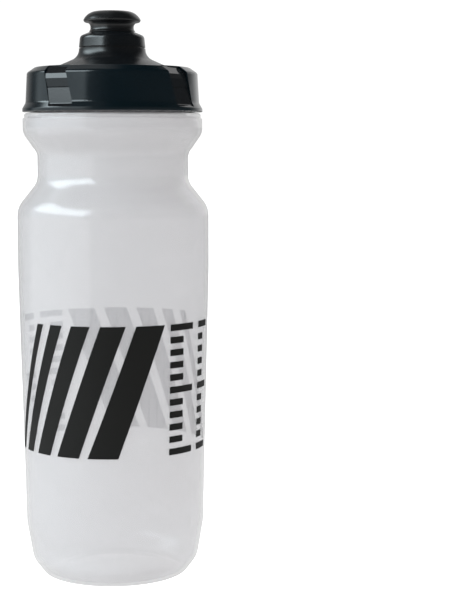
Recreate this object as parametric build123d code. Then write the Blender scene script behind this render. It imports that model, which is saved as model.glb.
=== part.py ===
from build123d import *
import math
import os

# A 650 ml squeeze bottle for a bicycle cage, with a two-part screw cap and a push-pull nozzle.
#
# +Z is up along the bottle's axis, the origin is the centre of the base, and -Y is the front.
# Lengths are in millimetres. Turned profiles are drawn as (radius, height) points.

# Bottle: a blow-moulded shell of even thickness.
WALL = 1.2
PUSH_UP = 4.2
PUSH_UP_EDGE_R = 18.0
PUSH_UP_EDGE_Z = 3.4
FOOT_INNER_R = 22.0
FOOT_OUTER_R = 27.4
HEEL_R = 31.9
HEEL_Z = 6.0
KNEE_R = 34.3
KNEE_Z = 20.0
WAIST_R = 34.6
WAIST_Z = 36.0
BODY_R = 36.5
BAND_LOW_Z = 118.0
BAND_HIGH_Z = 141.3
GRIP_R = 28.75
GRIP_LOW_Z = 151.0
GRIP_HIGH_Z = 161.7
SHOULDER_R = 34.1
SHOULDER_LOW_Z = 169.5
BEAD_R = 33.5
BEAD_LOW_Z = 174.9
BEAD_STEP = 0.2
LEDGE_Z = 177.0
LEDGE_FALL = 0.1
NECK_R = 28.7
NECK_TOP_Z = 189.6
NECK_EDGE_R = 0.4
OUTLINE_FILLETS = {
    "push-up edge": 12,
    "foot inside": 2,
    "foot outside": 2.6,
    "heel": 7,
    "knee": 20,
    "waist": 60,
    "band low": 60,
    "band high": 9,
    "grip low": 7,
    "grip high": 5,
    "shoulder low": 6,
    "shoulder high": 0.25,
    "bead low": 0.2,
    "bead high": 0.9,
    "neck foot": 0.8,
}

# Screw thread shared by the neck and the cap: right-handed, one start.
THREAD_PITCH = 5.0
THREAD_DEPTH = 1.1
THREAD_ROOT_WIDTH = 2.4
THREAD_CREST_WIDTH = 1.2
THREAD_BITE = 0.4
THREAD_TURNS = 1.4
NECK_THREAD_Z = 180.2
CAP_THREAD_START_DEG = 90.0
FLANK_GAP = 0.2

# Printed panels: thin ink on the tapered part of the body, one in front and one behind.
INK = 0.12
PANEL_AZIMUTHS = {"print_front": 0.0, "print_back": 180.0}
PANEL_LOW_Z = 50.0
PANEL_HIGH_Z = 99.0
PANEL_OVERCUT = 1.0
BAR_LEAN_DEG = -20.0
BAR_WIDTHS = [3.0, 5.0, 7.0, 9.0, 11.0]
BAR_GAP = 3.8
BARS_END_AZIMUTH = 16.5
TICK_HEIGHT = 2.4
TICK_ROWS = 11
LONG_TICK_EVERY = 5
SCALES = [(35.0, 6.5, 12.0), (61.0, 4.0, 8.0)]

# Inner cap: threaded skirt, flat deck, the cone that carries the spout, and the spout's tower.
SKIRT_OUTER_R = 31.6
SKIRT_INNER_R = 30.3
SKIRT_LOW_Z = 178.2
DECK_LOW_Z = 191.0
DECK_HIGH_Z = 192.5
DECK_CHAMFER = 1.1
CONE_FOOT_R = 20.85
CONE_FOOT_Z = 194.6
CONE_BEND_Z = 198.2
CONE_BEND_R = 4.5
CONE_TOP_R = 12.6
CONE_TOP_Z = 201.3
VOID_TOP_R = 12.3
VOID_TOP_Z = 196.7
VOID_BEND_R = 15.2
VOID_BEND_Z = 195.2
VOID_FOOT_R = 19.1
VOID_FOOT_Z = 193.7
TOWER_R = 11.6
TOWER_TOP_Z = 205.6
CHAMBER_R = 10.7
CHAMBER_LOW_Z = 194.6
INLET_R = 9.2
KEEPER_R = 27.0
KEEPER_WALL = 0.8
KEEPER_DROP = 1.1
SNAP_Z = 202.6
SNAP_HEIGHT = 0.8
SNAP_DEPTH = 0.35

# Outer shell of the cap, with slanted windows.
SHELL_GAP = 0.05
SHELL_LOW_Z = 177.4
SHELL_LIP_R = 34.2
SHELL_FLARE_Z = 178.6
SHELL_FOOT_R = 32.95
SHELL_FOOT_Z = 180.8
SHELL_CREASE_R = 32.35
SHELL_CREASE_Z = 192.0
SHELL_TOP_R = 29.3
SHELL_TOP_Z = 194.1
SHELL_BITE = 0.3
SHELL_FILLETS = {"hole": 0.4, "top": 1.8, "crease": 1.3, "foot": 1.6, "lip": 0.3, "underside": 0.25}
WINDOW_COUNT = 4
WINDOW_AZIMUTH = -38.7
WINDOW_WIDTH = 10.6
WINDOW_LOW_Z = 178.9
WINDOW_HIGH_Z = 195.0
WINDOW_INNER_R = 28.5
WINDOW_LEAN_DEG = 15.0
WINDOW_CORNER_R = 0.9

# Finger pads of the inner cap, seen in the windows: flat faces sunk into the cap, deepest on the right.
PAD_GAP = 0.05
PAD_INNER_R = 30.4
PAD_LIP_R = 33.85
PAD_LIP_Z = 178.8
PAD_FOOT_R = 32.55
PAD_FOOT_Z = 179.9
PAD_FOOT_FILLET = 0.8
PAD_GROOVE_R = 31.7
PAD_GROOVE_Z = 186.0
PAD_GROOVE_DEPTH = 0.3
PAD_GROOVE_WIDTH = 0.4
PAD_BEVEL_R = 31.5
PAD_BEVEL_Z = 189.3
PAD_CREST_R = 31.0
PAD_CREST_Z = 191.1
PAD_CREST_FILLET = 0.5
PAD_TOP_R = 28.2
PAD_TOP_Z = 193.8
PAD_TURN_DEG = 3.0

# Gasket between the neck's rim and the deck.
GASKET_INNER_R = 27.1
GASKET_OUTER_R = 30.1

# Collar snapped over the tower.
COLLAR_LOW_Z = 201.7
COLLAR_LIP_Z = 205.7
COLLAR_TOP_Z = 207.6
COLLAR_LOW_R = 12.6
COLLAR_HIGH_R = 12.15
COLLAR_CORNER_Z = 206.0
COLLAR_HOLE_R = 8.3
COLLAR_FILLETS = {"foot": 0.2, "corner": 1.7, "hole": 0.4}

# Fixed plug: a ring in the chamber, three webs, a post and the plug that shuts the nozzle.
WEB_COUNT = 3
WEB_THICK = 1.6
WEB_TOP_Z = 196.4
POST_R = 2.4
PLUG_R = 3.55
PLUG_LOW_Z = 210.2
PLUG_TOP_Z = 214.1
PLUG_EDGE = 0.5

# Push-pull nozzle: hard core, soft cover and seal ring. It rises by NOZZLE_TRAVEL to open.
NOZZLE_TRAVEL = 6.0
CORE_LOW_Z = 197.0
CORE_STEP_Z = 207.8
CORE_TOP_Z = 214.4
CORE_BORE_R = 5.4
CORE_UPPER_R = 6.8
STEM_R = 8.2
ORIFICE_R = 3.6
ORIFICE_LOW_Z = 211.0
FLANGE_R = 10.4
FLANGE_TOP_Z = 199.6
SEAL_CORD_R = 0.8
SEAL_Z = 198.3
SEAL_GROOVE_WIDTH = 1.8
ANCHOR_R = 8.6
ANCHOR_LOW_Z = 212.0
ANCHOR_HIGH_Z = 213.0
COVER_FOOT_R = 8.75
COVER_STEM_Z = 208.9
COVER_THROAT_Z = 209.4
BRIM_R = 10.8
BRIM_HIGH_Z = 212.1
BRIM_LOW_R = 10.1
BRIM_LOW_Z = 211.1
BRIM_SIDE_R = 10.66
BRIM_SIDE_Z = 211.5
DOME_R = 9.1
DOME_Z = 214.15
NOZZLE_TOP_Z = 215.2
MOUTH_R = 4.6
MOULD_GAP = 0.02
FIT_GAP = 0.05


def turned(*lines):
    """A solid of revolution about Z whose profile is closed by these lines, drawn as (radius, height)."""
    profile = make_face(Curve() + list(lines))
    return revolve(Plane.XZ * profile, Axis.Z)


def turned_polygon(*points):
    return turned(Polyline(*points, close=True))


def tube(inner_r, outer_r, low_z, high_z):
    return turned_polygon((inner_r, low_z), (outer_r, low_z), (outer_r, high_z), (inner_r, high_z))


def rod(outer_r, low_z, high_z):
    return Pos(0, 0, low_z) * Cylinder(outer_r, high_z - low_z, align=(Align.CENTER, Align.CENTER, Align.MIN))


def facing(azimuth):
    """A plane on the axis whose normal points outwards at this azimuth in degrees.

    Azimuth 0 is the front and it grows towards +X. The plane's x runs to the right of someone who
    faces the bottle there, and its y is up."""
    turn = math.radians(azimuth)
    return Plane(
        origin=(0, 0, 0),
        x_dir=(math.cos(turn), math.sin(turn), 0),
        z_dir=(math.sin(turn), -math.cos(turn), 0),
    )


def leaning_patch(azimuth, width, low_z, high_z, lean_deg=0.0, corner_r=0.0):
    """A long radial prism over a parallelogram that leans to the right as it goes down."""
    shift = math.tan(math.radians(lean_deg)) * (high_z - low_z) / 2
    outline = Polygon(
        (shift - width / 2, low_z),
        (shift + width / 2, low_z),
        (width / 2 - shift, high_z),
        (-width / 2 - shift, high_z),
        align=None,
    )
    if corner_r:
        outline = fillet(outline.vertices(), corner_r)
    return extrude(facing(azimuth) * outline, amount=2 * BODY_R)


def thread_ridge(wall_r, outwards, start_z, start_deg=0.0):
    """A helical ridge on a wall, THREAD_DEPTH high and sunk THREAD_BITE into the wall to join it."""
    side = 1 if outwards else -1
    path = Helix(THREAD_PITCH, THREAD_PITCH * THREAD_TURNS, wall_r)
    section = Polygon(
        (-THREAD_BITE, -THREAD_ROOT_WIDTH / 2),
        (0, -THREAD_ROOT_WIDTH / 2),
        (THREAD_DEPTH, -THREAD_CREST_WIDTH / 2),
        (THREAD_DEPTH, THREAD_CREST_WIDTH / 2),
        (0, THREAD_ROOT_WIDTH / 2),
        (-THREAD_BITE, THREAD_ROOT_WIDTH / 2),
        align=None,
    )
    across = (0, -side, 0)
    start = Plane(origin=(wall_r, 0, 0), x_dir=(side, 0, 0), z_dir=across)
    ridge = sweep(start * section, path=path, is_frenet=True)
    return Pos(0, 0, start_z) * Rot(0, 0, start_deg) * ridge


def body_radius(height):
    """The outside radius of the tapered body between the waist and the straight band."""
    return WAIST_R + (BODY_R - WAIST_R) * (height - WAIST_Z) / (BAND_LOW_Z - WAIST_Z)


def bottle_outline():
    """The outside of the bottle, from the axis under the base to the neck's rim."""
    return FilletPolyline(
        (0, PUSH_UP),
        (PUSH_UP_EDGE_R, PUSH_UP_EDGE_Z),
        (FOOT_INNER_R, 0),
        (FOOT_OUTER_R, 0),
        (HEEL_R, HEEL_Z),
        (KNEE_R, KNEE_Z),
        (WAIST_R, WAIST_Z),
        (BODY_R, BAND_LOW_Z),
        (BODY_R, BAND_HIGH_Z),
        (GRIP_R, GRIP_LOW_Z),
        (GRIP_R, GRIP_HIGH_Z),
        (SHOULDER_R, SHOULDER_LOW_Z),
        (SHOULDER_R, BEAD_LOW_Z),
        (BEAD_R, BEAD_LOW_Z + BEAD_STEP),
        (BEAD_R, LEDGE_Z - LEDGE_FALL),
        (NECK_R, LEDGE_Z),
        (NECK_R, NECK_TOP_Z),
        radius=list(OUTLINE_FILLETS.values()),
    )


def make_bottle():
    rim = (NECK_R, NECK_TOP_Z)
    axis_top = (0, NECK_TOP_Z)
    half = make_face(Curve() + [bottle_outline(), Line(rim, axis_top), Line(axis_top, (0, PUSH_UP))])
    whole = half + mirror(half, Plane.YZ)
    hollow = offset(whole, amount=-WALL)
    mouth = Pos(0, NECK_TOP_Z) * Rectangle(2 * (NECK_R - WALL), 4 * WALL)
    right_side = Pos(BODY_R, NECK_TOP_Z / 2) * Rectangle(2 * BODY_R, 2 * NECK_TOP_Z)
    shell = revolve(Plane.XZ * ((whole - hollow - mouth) & right_side), Axis.Z)
    rim_edges = shell.edges().filter_by(GeomType.CIRCLE).group_by(Axis.Z)[-1]
    shell = fillet(rim_edges, NECK_EDGE_R)
    return shell + thread_ridge(NECK_R, True, NECK_THREAD_Z)


def make_print(azimuth):
    """Slanted bars of growing width beside two plain scales, cut from one thin sleeve of ink."""
    low_r = body_radius(PANEL_LOW_Z)
    high_r = body_radius(PANEL_HIGH_Z)
    sleeve = turned_polygon(
        (low_r, PANEL_LOW_Z), (low_r + INK, PANEL_LOW_Z), (high_r + INK, PANEL_HIGH_Z), (high_r, PANEL_HIGH_Z)
    )
    low_z = PANEL_LOW_Z - PANEL_OVERCUT
    high_z = PANEL_HIGH_Z + PANEL_OVERCUT
    patches = []
    end = azimuth + BARS_END_AZIMUTH
    for width in reversed(BAR_WIDTHS):
        middle = end - math.degrees(width / 2 / low_r)
        patches.append(leaning_patch(middle, width, low_z, high_z, BAR_LEAN_DEG))
        end -= math.degrees((width + BAR_GAP) / low_r)
    step = (PANEL_HIGH_Z - PANEL_LOW_Z - TICK_HEIGHT) / (TICK_ROWS - 1)
    for start, short, long in SCALES:
        for row in range(TICK_ROWS):
            length = long if row % LONG_TICK_EVERY == 0 else short
            middle = start + math.degrees(length / 2 / low_r)
            low = PANEL_LOW_Z + row * step
            patches.append(leaning_patch(azimuth + middle, length, low, low + TICK_HEIGHT))
    return Compound([sleeve & patch for patch in patches])


def windows():
    return [WINDOW_AZIMUTH + number * 360 / WINDOW_COUNT for number in range(WINDOW_COUNT)]


def shell_outside():
    """The cap's outside, from the hole round the cone to the underside of the lip."""
    return FilletPolyline(
        (CONE_FOOT_R + SHELL_GAP, DECK_HIGH_Z + SHELL_GAP),
        (CONE_FOOT_R + SHELL_GAP, CONE_FOOT_Z),
        (SHELL_TOP_R, SHELL_TOP_Z),
        (SHELL_CREASE_R, SHELL_CREASE_Z),
        (SHELL_FOOT_R, SHELL_FOOT_Z),
        (SHELL_LIP_R, SHELL_FLARE_Z),
        (SHELL_LIP_R, SHELL_LOW_Z),
        (SKIRT_OUTER_R + SHELL_GAP - SHELL_BITE, SHELL_LOW_Z),
        radius=list(SHELL_FILLETS.values()),
    )


def window_patch(azimuth, gap=0.0):
    """The slanted prism of one window, or a slightly smaller one that fits inside it."""
    width = WINDOW_WIDTH - 2 * gap
    corner_r = WINDOW_CORNER_R - gap
    return leaning_patch(azimuth, width, WINDOW_LOW_Z + gap, WINDOW_HIGH_Z, WINDOW_LEAN_DEG, corner_r)


def pad_side(azimuth, *boundary):
    """A block on one side of a pad's face, which has a hollow foot, a groove, a bevel and a sloping top."""
    groove_low = (PAD_GROOVE_R, PAD_GROOVE_Z - PAD_GROOVE_WIDTH / 2)
    groove_high = (PAD_GROOVE_R, PAD_GROOVE_Z + PAD_GROOVE_WIDTH / 2)
    profile = [
        FilletPolyline(
            (PAD_LIP_R, PAD_LIP_Z), (PAD_FOOT_R, PAD_FOOT_Z), groove_low, radius=PAD_FOOT_FILLET
        ),
        Polyline(groove_low, (PAD_GROOVE_R - PAD_GROOVE_DEPTH, PAD_GROOVE_Z), groove_high),
        FilletPolyline(
            groove_high,
            (PAD_BEVEL_R, PAD_BEVEL_Z),
            (PAD_CREST_R, PAD_CREST_Z),
            (PAD_TOP_R, PAD_TOP_Z),
            radius=PAD_CREST_FILLET,
        ),
        Polyline((PAD_TOP_R, PAD_TOP_Z), *boundary, (PAD_LIP_R, PAD_LIP_Z)),
    ]
    block = extrude(Plane.XZ * make_face(Curve() + profile), amount=WINDOW_WIDTH, both=True)
    turned_right = Pos(PAD_FOOT_R, 0, 0) * Rot(0, 0, PAD_TURN_DEG) * Pos(-PAD_FOOT_R, 0, 0) * block
    return (Rot(0, 0, azimuth - 90) * turned_right) & window_patch(azimuth, PAD_GAP)


def cut_pads(cap):
    """Cut the windows' finger pads into the cap, and fill them out where the cap lies deeper."""
    reach = 2 * BODY_R
    shoulder_z = DECK_HIGH_Z - DECK_CHAMFER
    top_hole = rod(WINDOW_INNER_R + PAD_GAP, PAD_LIP_Z, WINDOW_HIGH_Z)
    rim = rod(SHELL_LIP_R, PAD_LIP_Z, WINDOW_HIGH_Z)
    for azimuth in windows():
        cap -= pad_side(azimuth, (PAD_TOP_R, WINDOW_HIGH_Z), (reach, WINDOW_HIGH_Z), (reach, PAD_LIP_Z))
        pad = pad_side(
            azimuth, (PAD_TOP_R, shoulder_z), (PAD_INNER_R, shoulder_z), (PAD_INNER_R, PAD_LIP_Z)
        )
        cap += (pad & rim) - top_hole
    return cap


def make_inner_cap():
    outside = FilletPolyline(
        (CONE_FOOT_R, CONE_FOOT_Z), (CONE_TOP_R, CONE_BEND_Z), (CONE_TOP_R, CONE_TOP_Z), radius=CONE_BEND_R
    )
    snap_r = TOWER_R - SNAP_DEPTH
    inside = Polyline(
        (CONE_TOP_R, CONE_TOP_Z),
        (TOWER_R, CONE_TOP_Z),
        (TOWER_R, SNAP_Z - SNAP_HEIGHT / 2),
        (snap_r, SNAP_Z - SNAP_HEIGHT / 2),
        (snap_r, SNAP_Z + SNAP_HEIGHT / 2),
        (TOWER_R, SNAP_Z + SNAP_HEIGHT / 2),
        (TOWER_R, TOWER_TOP_Z),
        (CHAMBER_R, TOWER_TOP_Z),
        (CHAMBER_R, CHAMBER_LOW_Z),
        (INLET_R, CHAMBER_LOW_Z),
        (INLET_R, DECK_LOW_Z),
        (VOID_TOP_R, DECK_LOW_Z),
        (VOID_TOP_R, VOID_TOP_Z),
        (VOID_BEND_R, VOID_BEND_Z),
        (VOID_FOOT_R, VOID_FOOT_Z),
        (VOID_FOOT_R, DECK_LOW_Z),
        (KEEPER_R - KEEPER_WALL, DECK_LOW_Z),
        (KEEPER_R - KEEPER_WALL, DECK_LOW_Z - KEEPER_DROP),
        (KEEPER_R, DECK_LOW_Z - KEEPER_DROP),
        (KEEPER_R, DECK_LOW_Z),
        (SKIRT_INNER_R, DECK_LOW_Z),
        (SKIRT_INNER_R, SKIRT_LOW_Z),
        (SKIRT_OUTER_R, SKIRT_LOW_Z),
        (SKIRT_OUTER_R, DECK_HIGH_Z - DECK_CHAMFER),
        (SKIRT_OUTER_R - DECK_CHAMFER, DECK_HIGH_Z),
        (CONE_FOOT_R, DECK_HIGH_Z),
        (CONE_FOOT_R, CONE_FOOT_Z),
    )
    cap = turned(outside, inside)
    flank_slope = (THREAD_ROOT_WIDTH - THREAD_CREST_WIDTH) / 2 / THREAD_DEPTH
    flank_offset = THREAD_ROOT_WIDTH - flank_slope * (SKIRT_INNER_R - NECK_R) + FLANK_GAP
    start_z = NECK_THREAD_Z - flank_offset + THREAD_PITCH * CAP_THREAD_START_DEG / 360
    cap += thread_ridge(SKIRT_INNER_R, False, start_z, CAP_THREAD_START_DEG)
    return cut_pads(cap)


def make_cap_shell():
    hole_r = CONE_FOOT_R + SHELL_GAP
    inner_r = SKIRT_OUTER_R + SHELL_GAP
    ceiling = DECK_HIGH_Z + SHELL_GAP
    bead_top = SKIRT_LOW_Z - SHELL_GAP
    inside = Polyline(
        (inner_r - SHELL_BITE, SHELL_LOW_Z),
        (inner_r - SHELL_BITE, bead_top),
        (inner_r, bead_top),
        (inner_r, ceiling - DECK_CHAMFER),
        (inner_r - DECK_CHAMFER, ceiling),
        (hole_r, ceiling),
    )
    shell = turned(shell_outside(), inside)
    kept_top = rod(WINDOW_INNER_R, WINDOW_LOW_Z, WINDOW_HIGH_Z)
    for azimuth in windows():
        shell -= window_patch(azimuth) - kept_top
    return shell


def make_gasket():
    return tube(GASKET_INNER_R, GASKET_OUTER_R, NECK_TOP_Z, DECK_LOW_Z)


def make_collar():
    inner_r = TOWER_R + FIT_GAP
    snap_r = inner_r - SNAP_DEPTH
    snap_low = SNAP_Z - SNAP_HEIGHT / 2 + FIT_GAP
    snap_high = SNAP_Z + SNAP_HEIGHT / 2 - FIT_GAP
    outside = FilletPolyline(
        (inner_r, COLLAR_LOW_Z),
        (COLLAR_LOW_R, COLLAR_LOW_Z),
        (COLLAR_HIGH_R, COLLAR_CORNER_Z),
        (COLLAR_HOLE_R, COLLAR_TOP_Z),
        (COLLAR_HOLE_R, COLLAR_LIP_Z),
        radius=list(COLLAR_FILLETS.values()),
    )
    inside = Polyline(
        (COLLAR_HOLE_R, COLLAR_LIP_Z),
        (inner_r, COLLAR_LIP_Z),
        (inner_r, snap_high),
        (snap_r, snap_high),
        (snap_r, snap_low),
        (inner_r, snap_low),
        (inner_r, COLLAR_LOW_Z),
    )
    return turned(outside, inside)


def make_plug():
    ring_r = CHAMBER_R - FIT_GAP
    low_z = CHAMBER_LOW_Z
    plug = tube(INLET_R, ring_r, low_z, WEB_TOP_Z)
    for number in range(WEB_COUNT):
        web = Box(
            INLET_R + FIT_GAP, WEB_THICK, WEB_TOP_Z - low_z, align=(Align.MIN, Align.CENTER, Align.MIN)
        )
        plug += Rot(0, 0, 90 + number * 360 / WEB_COUNT) * Pos(0, 0, low_z) * web
    plug += rod(POST_R, low_z, PLUG_LOW_Z + PLUG_EDGE)
    head = rod(PLUG_R, PLUG_LOW_Z, PLUG_TOP_Z)
    return plug + chamfer(head.edges().filter_by(GeomType.CIRCLE), PLUG_EDGE)


def make_nozzle_core():
    groove_r = CHAMBER_R - FIT_GAP - 2 * SEAL_CORD_R
    return turned_polygon(
        (CORE_BORE_R, CORE_LOW_Z),
        (FLANGE_R, CORE_LOW_Z),
        (FLANGE_R, SEAL_Z - SEAL_GROOVE_WIDTH / 2),
        (groove_r, SEAL_Z - SEAL_GROOVE_WIDTH / 2),
        (groove_r, SEAL_Z + SEAL_GROOVE_WIDTH / 2),
        (FLANGE_R, SEAL_Z + SEAL_GROOVE_WIDTH / 2),
        (FLANGE_R, FLANGE_TOP_Z),
        (STEM_R, FLANGE_TOP_Z),
        (STEM_R, CORE_STEP_Z),
        (CORE_UPPER_R, CORE_STEP_Z),
        (CORE_UPPER_R, ANCHOR_LOW_Z),
        (ANCHOR_R, ANCHOR_LOW_Z),
        (ANCHOR_R, ANCHOR_HIGH_Z),
        (CORE_UPPER_R, ANCHOR_HIGH_Z),
        (CORE_UPPER_R, CORE_TOP_Z),
        (ORIFICE_R, CORE_TOP_Z),
        (ORIFICE_R, ORIFICE_LOW_Z),
        (CORE_BORE_R, ORIFICE_LOW_Z),
    )


def make_nozzle_cover():
    """The soft mushroom: a flared foot, a short stem, an undercut brim and a domed top."""
    bore_r = CORE_UPPER_R + MOULD_GAP
    anchor_r = ANCHOR_R + MOULD_GAP
    foot = (COVER_FOOT_R, CORE_STEP_Z)
    stem_low = (STEM_R, COVER_STEM_Z)
    throat = (STEM_R, COVER_THROAT_Z)
    brim_low = (BRIM_LOW_R, BRIM_LOW_Z)
    brim_high = (BRIM_R, BRIM_HIGH_Z)
    mouth = (MOUTH_R, NOZZLE_TOP_Z)
    return turned(
        TangentArc(stem_low, foot, tangent=(0, -1)),
        Line(stem_low, throat),
        TangentArc(throat, brim_low, tangent=(0, 1)),
        ThreePointArc(brim_low, (BRIM_SIDE_R, BRIM_SIDE_Z), brim_high),
        ThreePointArc(brim_high, (DOME_R, DOME_Z), mouth),
        Polyline(
            mouth,
            (MOUTH_R, CORE_TOP_Z + MOULD_GAP),
            (bore_r, CORE_TOP_Z + MOULD_GAP),
            (bore_r, ANCHOR_HIGH_Z + MOULD_GAP),
            (anchor_r, ANCHOR_HIGH_Z + MOULD_GAP),
            (anchor_r, ANCHOR_LOW_Z - MOULD_GAP),
            (bore_r, ANCHOR_LOW_Z - MOULD_GAP),
            (bore_r, CORE_STEP_Z),
            foot,
        ),
    )


def make_nozzle_seal():
    return Pos(0, 0, SEAL_Z) * Torus(CHAMBER_R - FIT_GAP - SEAL_CORD_R, SEAL_CORD_R)


nodes = {
    "bottle_body": make_bottle(),
    "inner_cap": make_inner_cap(),
    "cap_shell": make_cap_shell(),
    "cap_gasket": make_gasket(),
    "collar_ring": make_collar(),
    "shutoff_plug": make_plug(),
    "nozzle_core": make_nozzle_core(),
    "nozzle_cover": make_nozzle_cover(),
    "nozzle_seal": make_nozzle_seal(),
}
for name, azimuth in PANEL_AZIMUTHS.items():
    nodes[name] = make_print(azimuth)

os.makedirs("parts", exist_ok=True)
for name, shape in nodes.items():
    export_step(shape, f"parts/{name}.step")
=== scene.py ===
import math

import bpy
from mathutils import Euler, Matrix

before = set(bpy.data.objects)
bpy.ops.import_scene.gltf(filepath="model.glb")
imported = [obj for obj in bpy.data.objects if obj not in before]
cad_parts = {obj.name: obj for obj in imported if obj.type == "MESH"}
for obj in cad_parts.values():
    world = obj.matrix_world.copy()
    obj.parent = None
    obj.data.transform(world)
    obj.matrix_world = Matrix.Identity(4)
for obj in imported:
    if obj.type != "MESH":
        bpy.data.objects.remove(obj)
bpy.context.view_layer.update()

# The camera: where it stands, how it leans, and its lens.
CAMERA_PLACE = (0.0, -0.620, 0.165)
CAMERA_DOWN_DEG = 5.5
CAMERA_RIGHT_DEG = 4.24
LENS_MM = 96.72
SENSOR_MM = 36.0
CLIP = (0.01, 100.0)

# The studio: a pale floor with a painted glow and a painted reflection of the softbox, a white backdrop that
# is painted grey where seen through the bottle's walls, and a softbox on the left. Azimuths are in degrees
# from the camera's side, negative to its left, and each list holds (angle, brightness) points.
WHITE = 1.05
# Painted shade: the even grey of the backdrop and the floor where they are seen through the bottle's walls.
PAINTED_SHADE_BEHIND_WALLS = 0.60
FLOOR_RADIUS = 60.0
FLOOR_SIDES = 96
FLOOR_COLOUR = (0.5, 0.5, 0.5)
FLOOR_ROUGHNESS = 0.8
FLOOR_SPECULAR = 0.2
# Painted light: the floor's glow, brightest near the bottle, which lights the shadow under it.
PAINTED_GLOW_ON_FLOOR = [(0.1, 1.1), (0.8, 0.76)]
# Painted reflections: the floor's brightness as reflections see it, fading with distance, and a painted
# reflection of the softbox on it.
PAINTED_MIRROR_OF_FLOOR = [(0.1, 1.15), (0.8, 0.38)]
SHINE_PAINTED_ON_FLOOR = [(0.15, 0.0), (0.6, 1.05)]
SHINE_PAINTED_ON_FLOOR_AZIMUTH = [(-128.0, 0.0), (-106.0, 0.9), (-31.0, 1.0), (-25.0, 0.0)]
SOFTBOX_TINT = (0.82, 0.95, 1.0)
SOFTBOX_AZIMUTH = [(-130.0, 0.0), (-112.0, 1.0), (-65.0, 0.95), (-40.0, 1.05), (-34.0, 0.0)]
SOFTBOX_TURN = 0.2
SOFTBOX_ELEVATION = [(0.0, 0.85), (14.0, 0.95), (22.0, 6.5), (40.0, 6.5), (48.0, 0.0)]
SOFTBOX_SLANT = 0.08
SOFTBOX_LEFT = -106.0
SOFTBOX_SOFT = 0.8
ROOM_AZIMUTH = [
    (-180.0, 0.6), (-150.0, 0.35), (-130.0, 0.12), (-30.0, 0.15),
    (0.0, 0.02), (110.0, 0.05), (150.0, 1.0), (180.0, 0.7),
]
ROOM_SOFT = 1.05
ROOM_SOFT_RIGHT = 0.31
LID_ELEVATION = [(30.0, 0.0), (50.0, 1.0)]
LID_SIDE = [(-0.2, 0.0), (0.1, 1.0)]

# A ray that has passed through one clear wall or more has a depth above this.
WALL_DEPTH = 0.5

# Colours, as linear light.
BOTTLE_COLOUR = (0.615, 0.60, 0.612)
INK_COLOUR = (0.005, 0.005, 0.0045)
GLOSS_BLACK = (0.002, 0.0052, 0.0072)
SATIN_BLACK = (0.0035, 0.0045, 0.0055)
SOFT_BLACK = (0.0045, 0.005, 0.0055)
SILICONE_COLOUR = (0.62, 0.63, 0.63)

# The inner cap is polished outside this radius, where it shows in the cap shell's windows.
POLISHED_RADIUS = 0.0283
POLISHED_ROUGHNESS = 0.12

# How a plastic's roughness drifts: the noise's scale, and the part of its range that is used.
DRIFT_SCALE = 40.0
DRIFT_LOW = 0.3
DRIFT_HIGH = 0.7


class Graph:
    """A node tree, with short calls for the few kinds of node used here."""

    def __init__(self, tree):
        self.tree = tree

    def node(self, kind, **inputs):
        new = self.tree.nodes.new("ShaderNode" + kind)
        for name, value in inputs.items():
            self.feed(new.inputs[name.replace("_", " ")], value)
        return new

    def feed(self, socket, value):
        if isinstance(value, bpy.types.NodeSocket):
            self.tree.links.new(value, socket)
        else:
            socket.default_value = value

    def math(self, operation, *values):
        new = self.node("Math")
        new.operation = operation
        for socket, value in zip(new.inputs, values):
            self.feed(socket, value)
        return new.outputs[0]

    def ramp(self, value, points):
        """A smooth curve through (value, result) points, flat past its ends."""
        total = points[0][1]
        for (x0, y0), (x1, y1) in zip(points, points[1:]):
            step = self.node("MapRange", Value=value)
            step.interpolation_type = "SMOOTHSTEP"
            limits = {"From Min": x0, "From Max": x1, "To Min": 0.0, "To Max": y1 - y0}
            for name, number in limits.items():
                step.inputs[name].default_value = number
            total = self.math("ADD", step.outputs["Result"], total)
        return total

    def mix(self, factor, low, high):
        """low where factor is 0, and high where it is 1."""
        return self.math("ADD", self.math("MULTIPLY", self.math("SUBTRACT", high, low), factor), low)

    def mix_colours(self, blend, factor, first, second):
        new = self.node("Mix")
        new.data_type = "RGBA"
        new.blend_type = blend
        for socket, value in ((0, factor), (6, first), (7, second)):
            self.feed(new.inputs[socket], value)
        return new.outputs[2]

    def mix_shaders(self, factor, first, second):
        new = self.node("MixShader", Fac=factor)
        self.tree.links.new(first, new.inputs[1])
        self.tree.links.new(second, new.inputs[2])
        return new.outputs[0]

    def azimuth(self, x, y):
        """Degrees from the camera's side, negative to its left."""
        towards = self.math("MULTIPLY", y, -1.0)
        return self.math("MULTIPLY", self.math("ARCTAN2", x, towards), math.degrees(1))

    def place(self):
        """Object coordinates, which are the shared frame's own metres."""
        return self.node("TexCoord").outputs["Object"]

    def split(self, vector):
        return self.node("SeparateXYZ", Vector=vector).outputs

    def radius(self):
        """The distance from the bottle's axis."""
        x, y, _ = self.split(self.place())
        return self.math("SQRT", self.math("ADD", self.math("MULTIPLY", x, x), self.math("MULTIPLY", y, y)))

    def noise(self, scale, detail=3.0, roughness=0.55):
        texture = self.node("TexNoise", Vector=self.place(), Scale=scale, Detail=detail, Roughness=roughness)
        return texture.outputs["Fac"]

    def drift(self, scale, low, high):
        """A value that drifts between low and high from place to place."""
        return self.ramp(self.noise(scale), [(DRIFT_LOW, low), (DRIFT_HIGH, high)])

    def bump(self, height, depth):
        """A normal that raises the surface by up to depth metres."""
        return self.node("Bump", Height=height, Distance=depth).outputs["Normal"]


def new_material(name):
    material = bpy.data.materials.new(name)
    material.use_nodes = True
    return material, Graph(material.node_tree), material.node_tree.nodes["Principled BSDF"]


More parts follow.
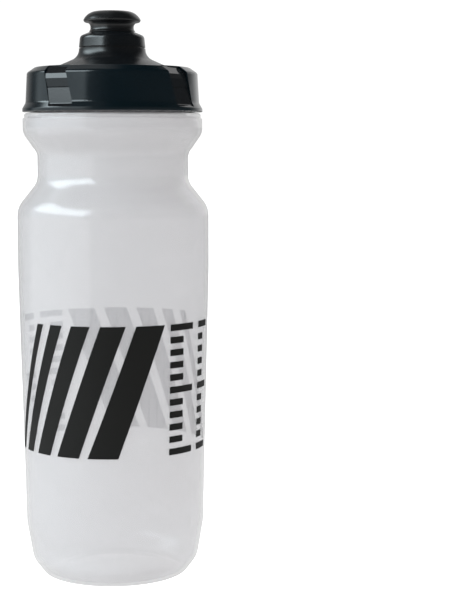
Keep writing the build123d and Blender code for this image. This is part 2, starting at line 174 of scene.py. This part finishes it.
def plastic(name, colour, roughness, grain, grain_depth, polished=False, **constants):
    """A moulded plastic: an even colour, a roughness that drifts, and a fine skin."""
    material, graph, shader = new_material(name)
    rough = graph.drift(DRIFT_SCALE, *roughness)
    if polished:
        outside = graph.math("GREATER_THAN", graph.radius(), POLISHED_RADIUS)
        rough = graph.mix(outside, rough, POLISHED_ROUGHNESS)
    skin = graph.bump(graph.noise(grain, detail=2.0), grain_depth)
    for socket, value in (("Base Color", (*colour, 1)), ("Roughness", rough), ("Normal", skin)):
        graph.feed(shader.inputs[socket], value)
    for socket, value in constants.items():
        graph.feed(shader.inputs[socket.replace("_", " ")], value)
    return material


def paint(node, material):
    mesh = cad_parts[node].data
    mesh.materials.clear()
    mesh.materials.append(material)


def add_materials():
    bottle = plastic(
        "frosted_bottle", BOTTLE_COLOUR, (0.22, 0.34), 260.0, 0.000012,
        Alpha=0.32, Specular_IOR_Level=0.8, Coat_Weight=1.0, Coat_Roughness=0.06, Coat_IOR=1.6,
    )
    ink = plastic("ink", INK_COLOUR, (0.55, 0.65), 900.0, 0.00001, Specular_IOR_Level=0.15)
    gloss = plastic("gloss_black", GLOSS_BLACK, (0.12, 0.18), 180.0, 0.00001)
    satin = plastic("satin_black", SATIN_BLACK, (0.18, 0.26), 1800.0, 0.00001)
    inner = plastic("inner_cap_black", SATIN_BLACK, (0.22, 0.30), 1800.0, 0.00001, polished=True)
    soft = plastic("soft_black", SOFT_BLACK, (0.24, 0.32), 1500.0, 0.00002)
    silicone = plastic("silicone", SILICONE_COLOUR, (0.35, 0.5), 800.0, 0.00001)
    paint("bottle_body", bottle)
    paint("print_front", ink)
    paint("print_back", ink)
    paint("cap_shell", gloss)
    paint("inner_cap", inner)
    for node in ("collar_ring", "shutoff_plug", "nozzle_core"):
        paint(node, satin)
    paint("nozzle_cover", soft)
    paint("cap_gasket", silicone)
    paint("nozzle_seal", silicone)


def add_camera():
    data = bpy.data.cameras.new("camera")
    data.lens = LENS_MM
    data.sensor_width = SENSOR_MM
    data.sensor_fit = "AUTO"
    data.clip_start, data.clip_end = CLIP
    camera = bpy.data.objects.new("camera", data)
    camera.location = CAMERA_PLACE
    camera.rotation_euler = Euler(
        (math.radians(90.0 - CAMERA_DOWN_DEG), 0.0, math.radians(-CAMERA_RIGHT_DEG))
    )
    bpy.context.scene.collection.objects.link(camera)
    bpy.context.scene.camera = camera


def add_floor():
    """A pale floor with a painted glow, brightest near the bottle, that lights the shadow under it.
    Reflections see a painted brightness that fades away, with a painted reflection of the softbox on it.
    Seen through the bottle's walls it is painted an even grey shade.
    """
    turns = [2 * math.pi * i / FLOOR_SIDES for i in range(FLOOR_SIDES)]
    rim = [(FLOOR_RADIUS * math.cos(t), FLOOR_RADIUS * math.sin(t), 0) for t in turns]
    mesh = bpy.data.meshes.new("floor")
    mesh.from_pydata(rim, [], [tuple(range(FLOOR_SIDES))])
    material, graph, shader = new_material("floor")
    distance = graph.radius()
    x, y, _ = graph.split(graph.place())
    # Painted glow, brightest near the bottle.
    for socket, value in (
        ("Base Color", (*FLOOR_COLOUR, 1)),
        ("Roughness", FLOOR_ROUGHNESS),
        ("Specular IOR Level", FLOOR_SPECULAR),
        ("Emission Color", (1, 1, 1, 1)),
        ("Emission Strength", graph.ramp(distance, PAINTED_GLOW_ON_FLOOR)),
    ):
        graph.feed(shader.inputs[socket], value)
    # Painted reflection of the softbox on the floor, seen only by glossy rays.
    across = graph.ramp(graph.azimuth(x, y), SHINE_PAINTED_ON_FLOOR_AZIMUTH)
    softbox_painted_on_floor = graph.math("MULTIPLY", across, graph.ramp(distance, SHINE_PAINTED_ON_FLOOR))
    strength = graph.math("ADD", graph.ramp(distance, PAINTED_MIRROR_OF_FLOOR), softbox_painted_on_floor)
    painted_mirror = graph.node("Emission", Color=(1, 1, 1, 1), Strength=strength)
    # Painted shade: the floor is an even grey where it is seen through the bottle's walls.
    painted_grey_shade = graph.node("Emission", Color=(1, 1, 1, 1), Strength=PAINTED_SHADE_BEHIND_WALLS)
    path = graph.node("LightPath").outputs
    behind = graph.math("GREATER_THAN", path["Transparent Depth"], WALL_DEPTH)
    solid = graph.mix_shaders(path["Is Glossy Ray"], shader.outputs[0], painted_mirror.outputs[0])
    final = graph.mix_shaders(behind, solid, painted_grey_shade.outputs[0])
    graph.feed(graph.tree.nodes["Material Output"].inputs["Surface"], final)
    mesh.materials.append(material)
    floor = bpy.data.objects.new("floor", mesh)
    bpy.context.scene.collection.objects.link(floor)


def add_world():
    """A white backdrop to the eye, and to soft light and reflections a studio with one softbox.

    The softbox spans a range of azimuth on the left and a range of elevation, and is brightest in
    its upper part. Seen through frosted walls the backdrop is painted a middling grey: painted shade that
    stands in for the light the frosted walls scatter away."""
    world = bpy.data.worlds.new("world")
    world.use_nodes = True
    graph = Graph(world.node_tree)
    path = graph.node("LightPath").outputs
    glossy = path["Is Glossy Ray"]
    x, y, z = graph.split(graph.node("TexCoord").outputs["Generated"])
    azimuth = graph.azimuth(x, y)
    elevation = graph.math("MULTIPLY", graph.math("ARCSINE", z), math.degrees(1))
    slant = graph.math("MULTIPLY", graph.math("SUBTRACT", azimuth, SOFTBOX_LEFT), SOFTBOX_SLANT)
    height = graph.ramp(graph.math("ADD", elevation, slant), SOFTBOX_ELEVATION)
    turned = graph.math("SUBTRACT", azimuth, graph.math("MULTIPLY", elevation, SOFTBOX_TURN))
    softbox = graph.math("MULTIPLY", graph.ramp(turned, SOFTBOX_AZIMUTH), height)
    softbox = graph.math("MULTIPLY", softbox, graph.mix(glossy, SOFTBOX_SOFT, 1.0))
    tint = graph.node("VectorMath")
    tint.operation = "SCALE"
    tint.inputs[0].default_value = SOFTBOX_TINT
    graph.feed(tint.inputs["Scale"], softbox)
    lid = graph.math("MULTIPLY", graph.ramp(elevation, LID_ELEVATION), graph.ramp(x, LID_SIDE))
    around = graph.math("MULTIPLY", graph.ramp(azimuth, ROOM_AZIMUTH), graph.math("SUBTRACT", 1.0, lid))
    soft = graph.math("ADD", graph.math("MULTIPLY", x, ROOM_SOFT_RIGHT), ROOM_SOFT)
    studio = graph.mix_colours("ADD", 1.0, graph.mix(glossy, soft, around), tint.outputs[0])
    # Painted shade: seen through the bottle's walls, the backdrop is an even grey.
    behind = graph.math("GREATER_THAN", path["Transparent Depth"], WALL_DEPTH)
    seen = graph.mix(behind, WHITE, PAINTED_SHADE_BEHIND_WALLS)
    final = graph.mix_colours("MIX", path["Is Camera Ray"], studio, seen)
    graph.feed(world.node_tree.nodes["Background"].inputs["Color"], final)
    bpy.context.scene.world = world


bpy.context.scene.view_settings.view_transform = "Standard"
add_materials()
add_camera()
add_floor()
add_world()
